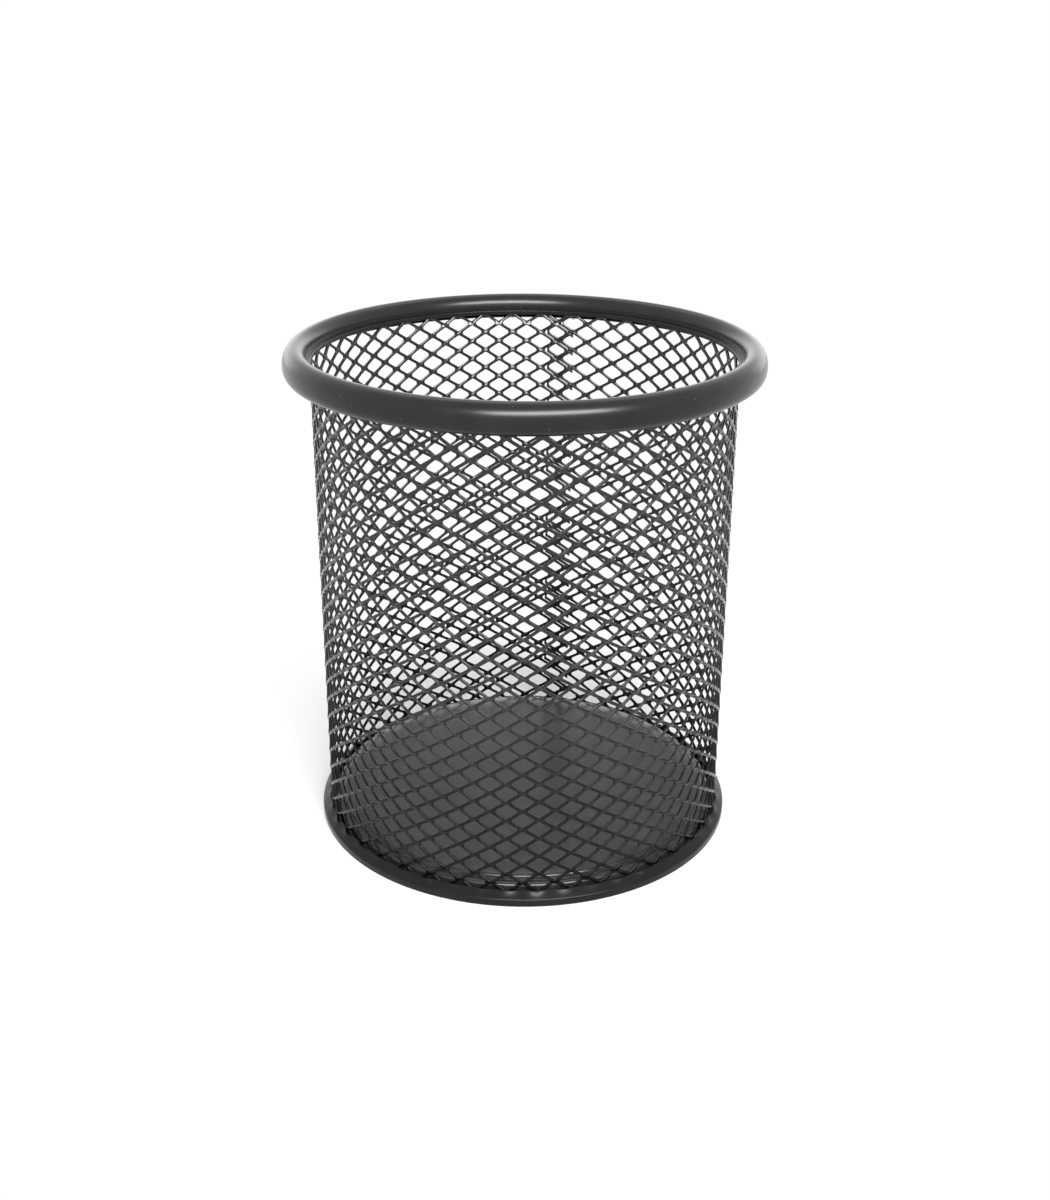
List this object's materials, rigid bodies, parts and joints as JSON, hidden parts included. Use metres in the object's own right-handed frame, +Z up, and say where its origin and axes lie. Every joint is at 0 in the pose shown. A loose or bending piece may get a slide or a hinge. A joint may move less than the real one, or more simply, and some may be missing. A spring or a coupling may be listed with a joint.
{
  "type": "mesh pen holder",
  "caption": "Round open-top desk cup of black expanded-metal mesh with a thick rolled rim, a raised sheet-metal floor and a narrow foot hoop, for holding pens and pencils upright.",
  "frame": {"origin": "on the table, under the middle of the cup", "axes": "+Z up along the axis of the cup, -Y towards the viewer of the picture, the mesh seam near +Y"},
  "size_m": [0.0928, 0.0928, 0.1],
  "materials": {
    "mesh_black": "satin black paint on expanded steel mesh",
    "rim_black": "semi-gloss black paint on rolled steel strip",
    "base_black": "satin black paint on pressed steel sheet"
  },
  "bodies": {
    "root": {"mesh_sleeve": "mesh_black", "seam_welds": "mesh_black", "top_rim": "rim_black", "base_pan": "base_black", "base_hoop": "rim_black"}
  },
  "joints": []
}
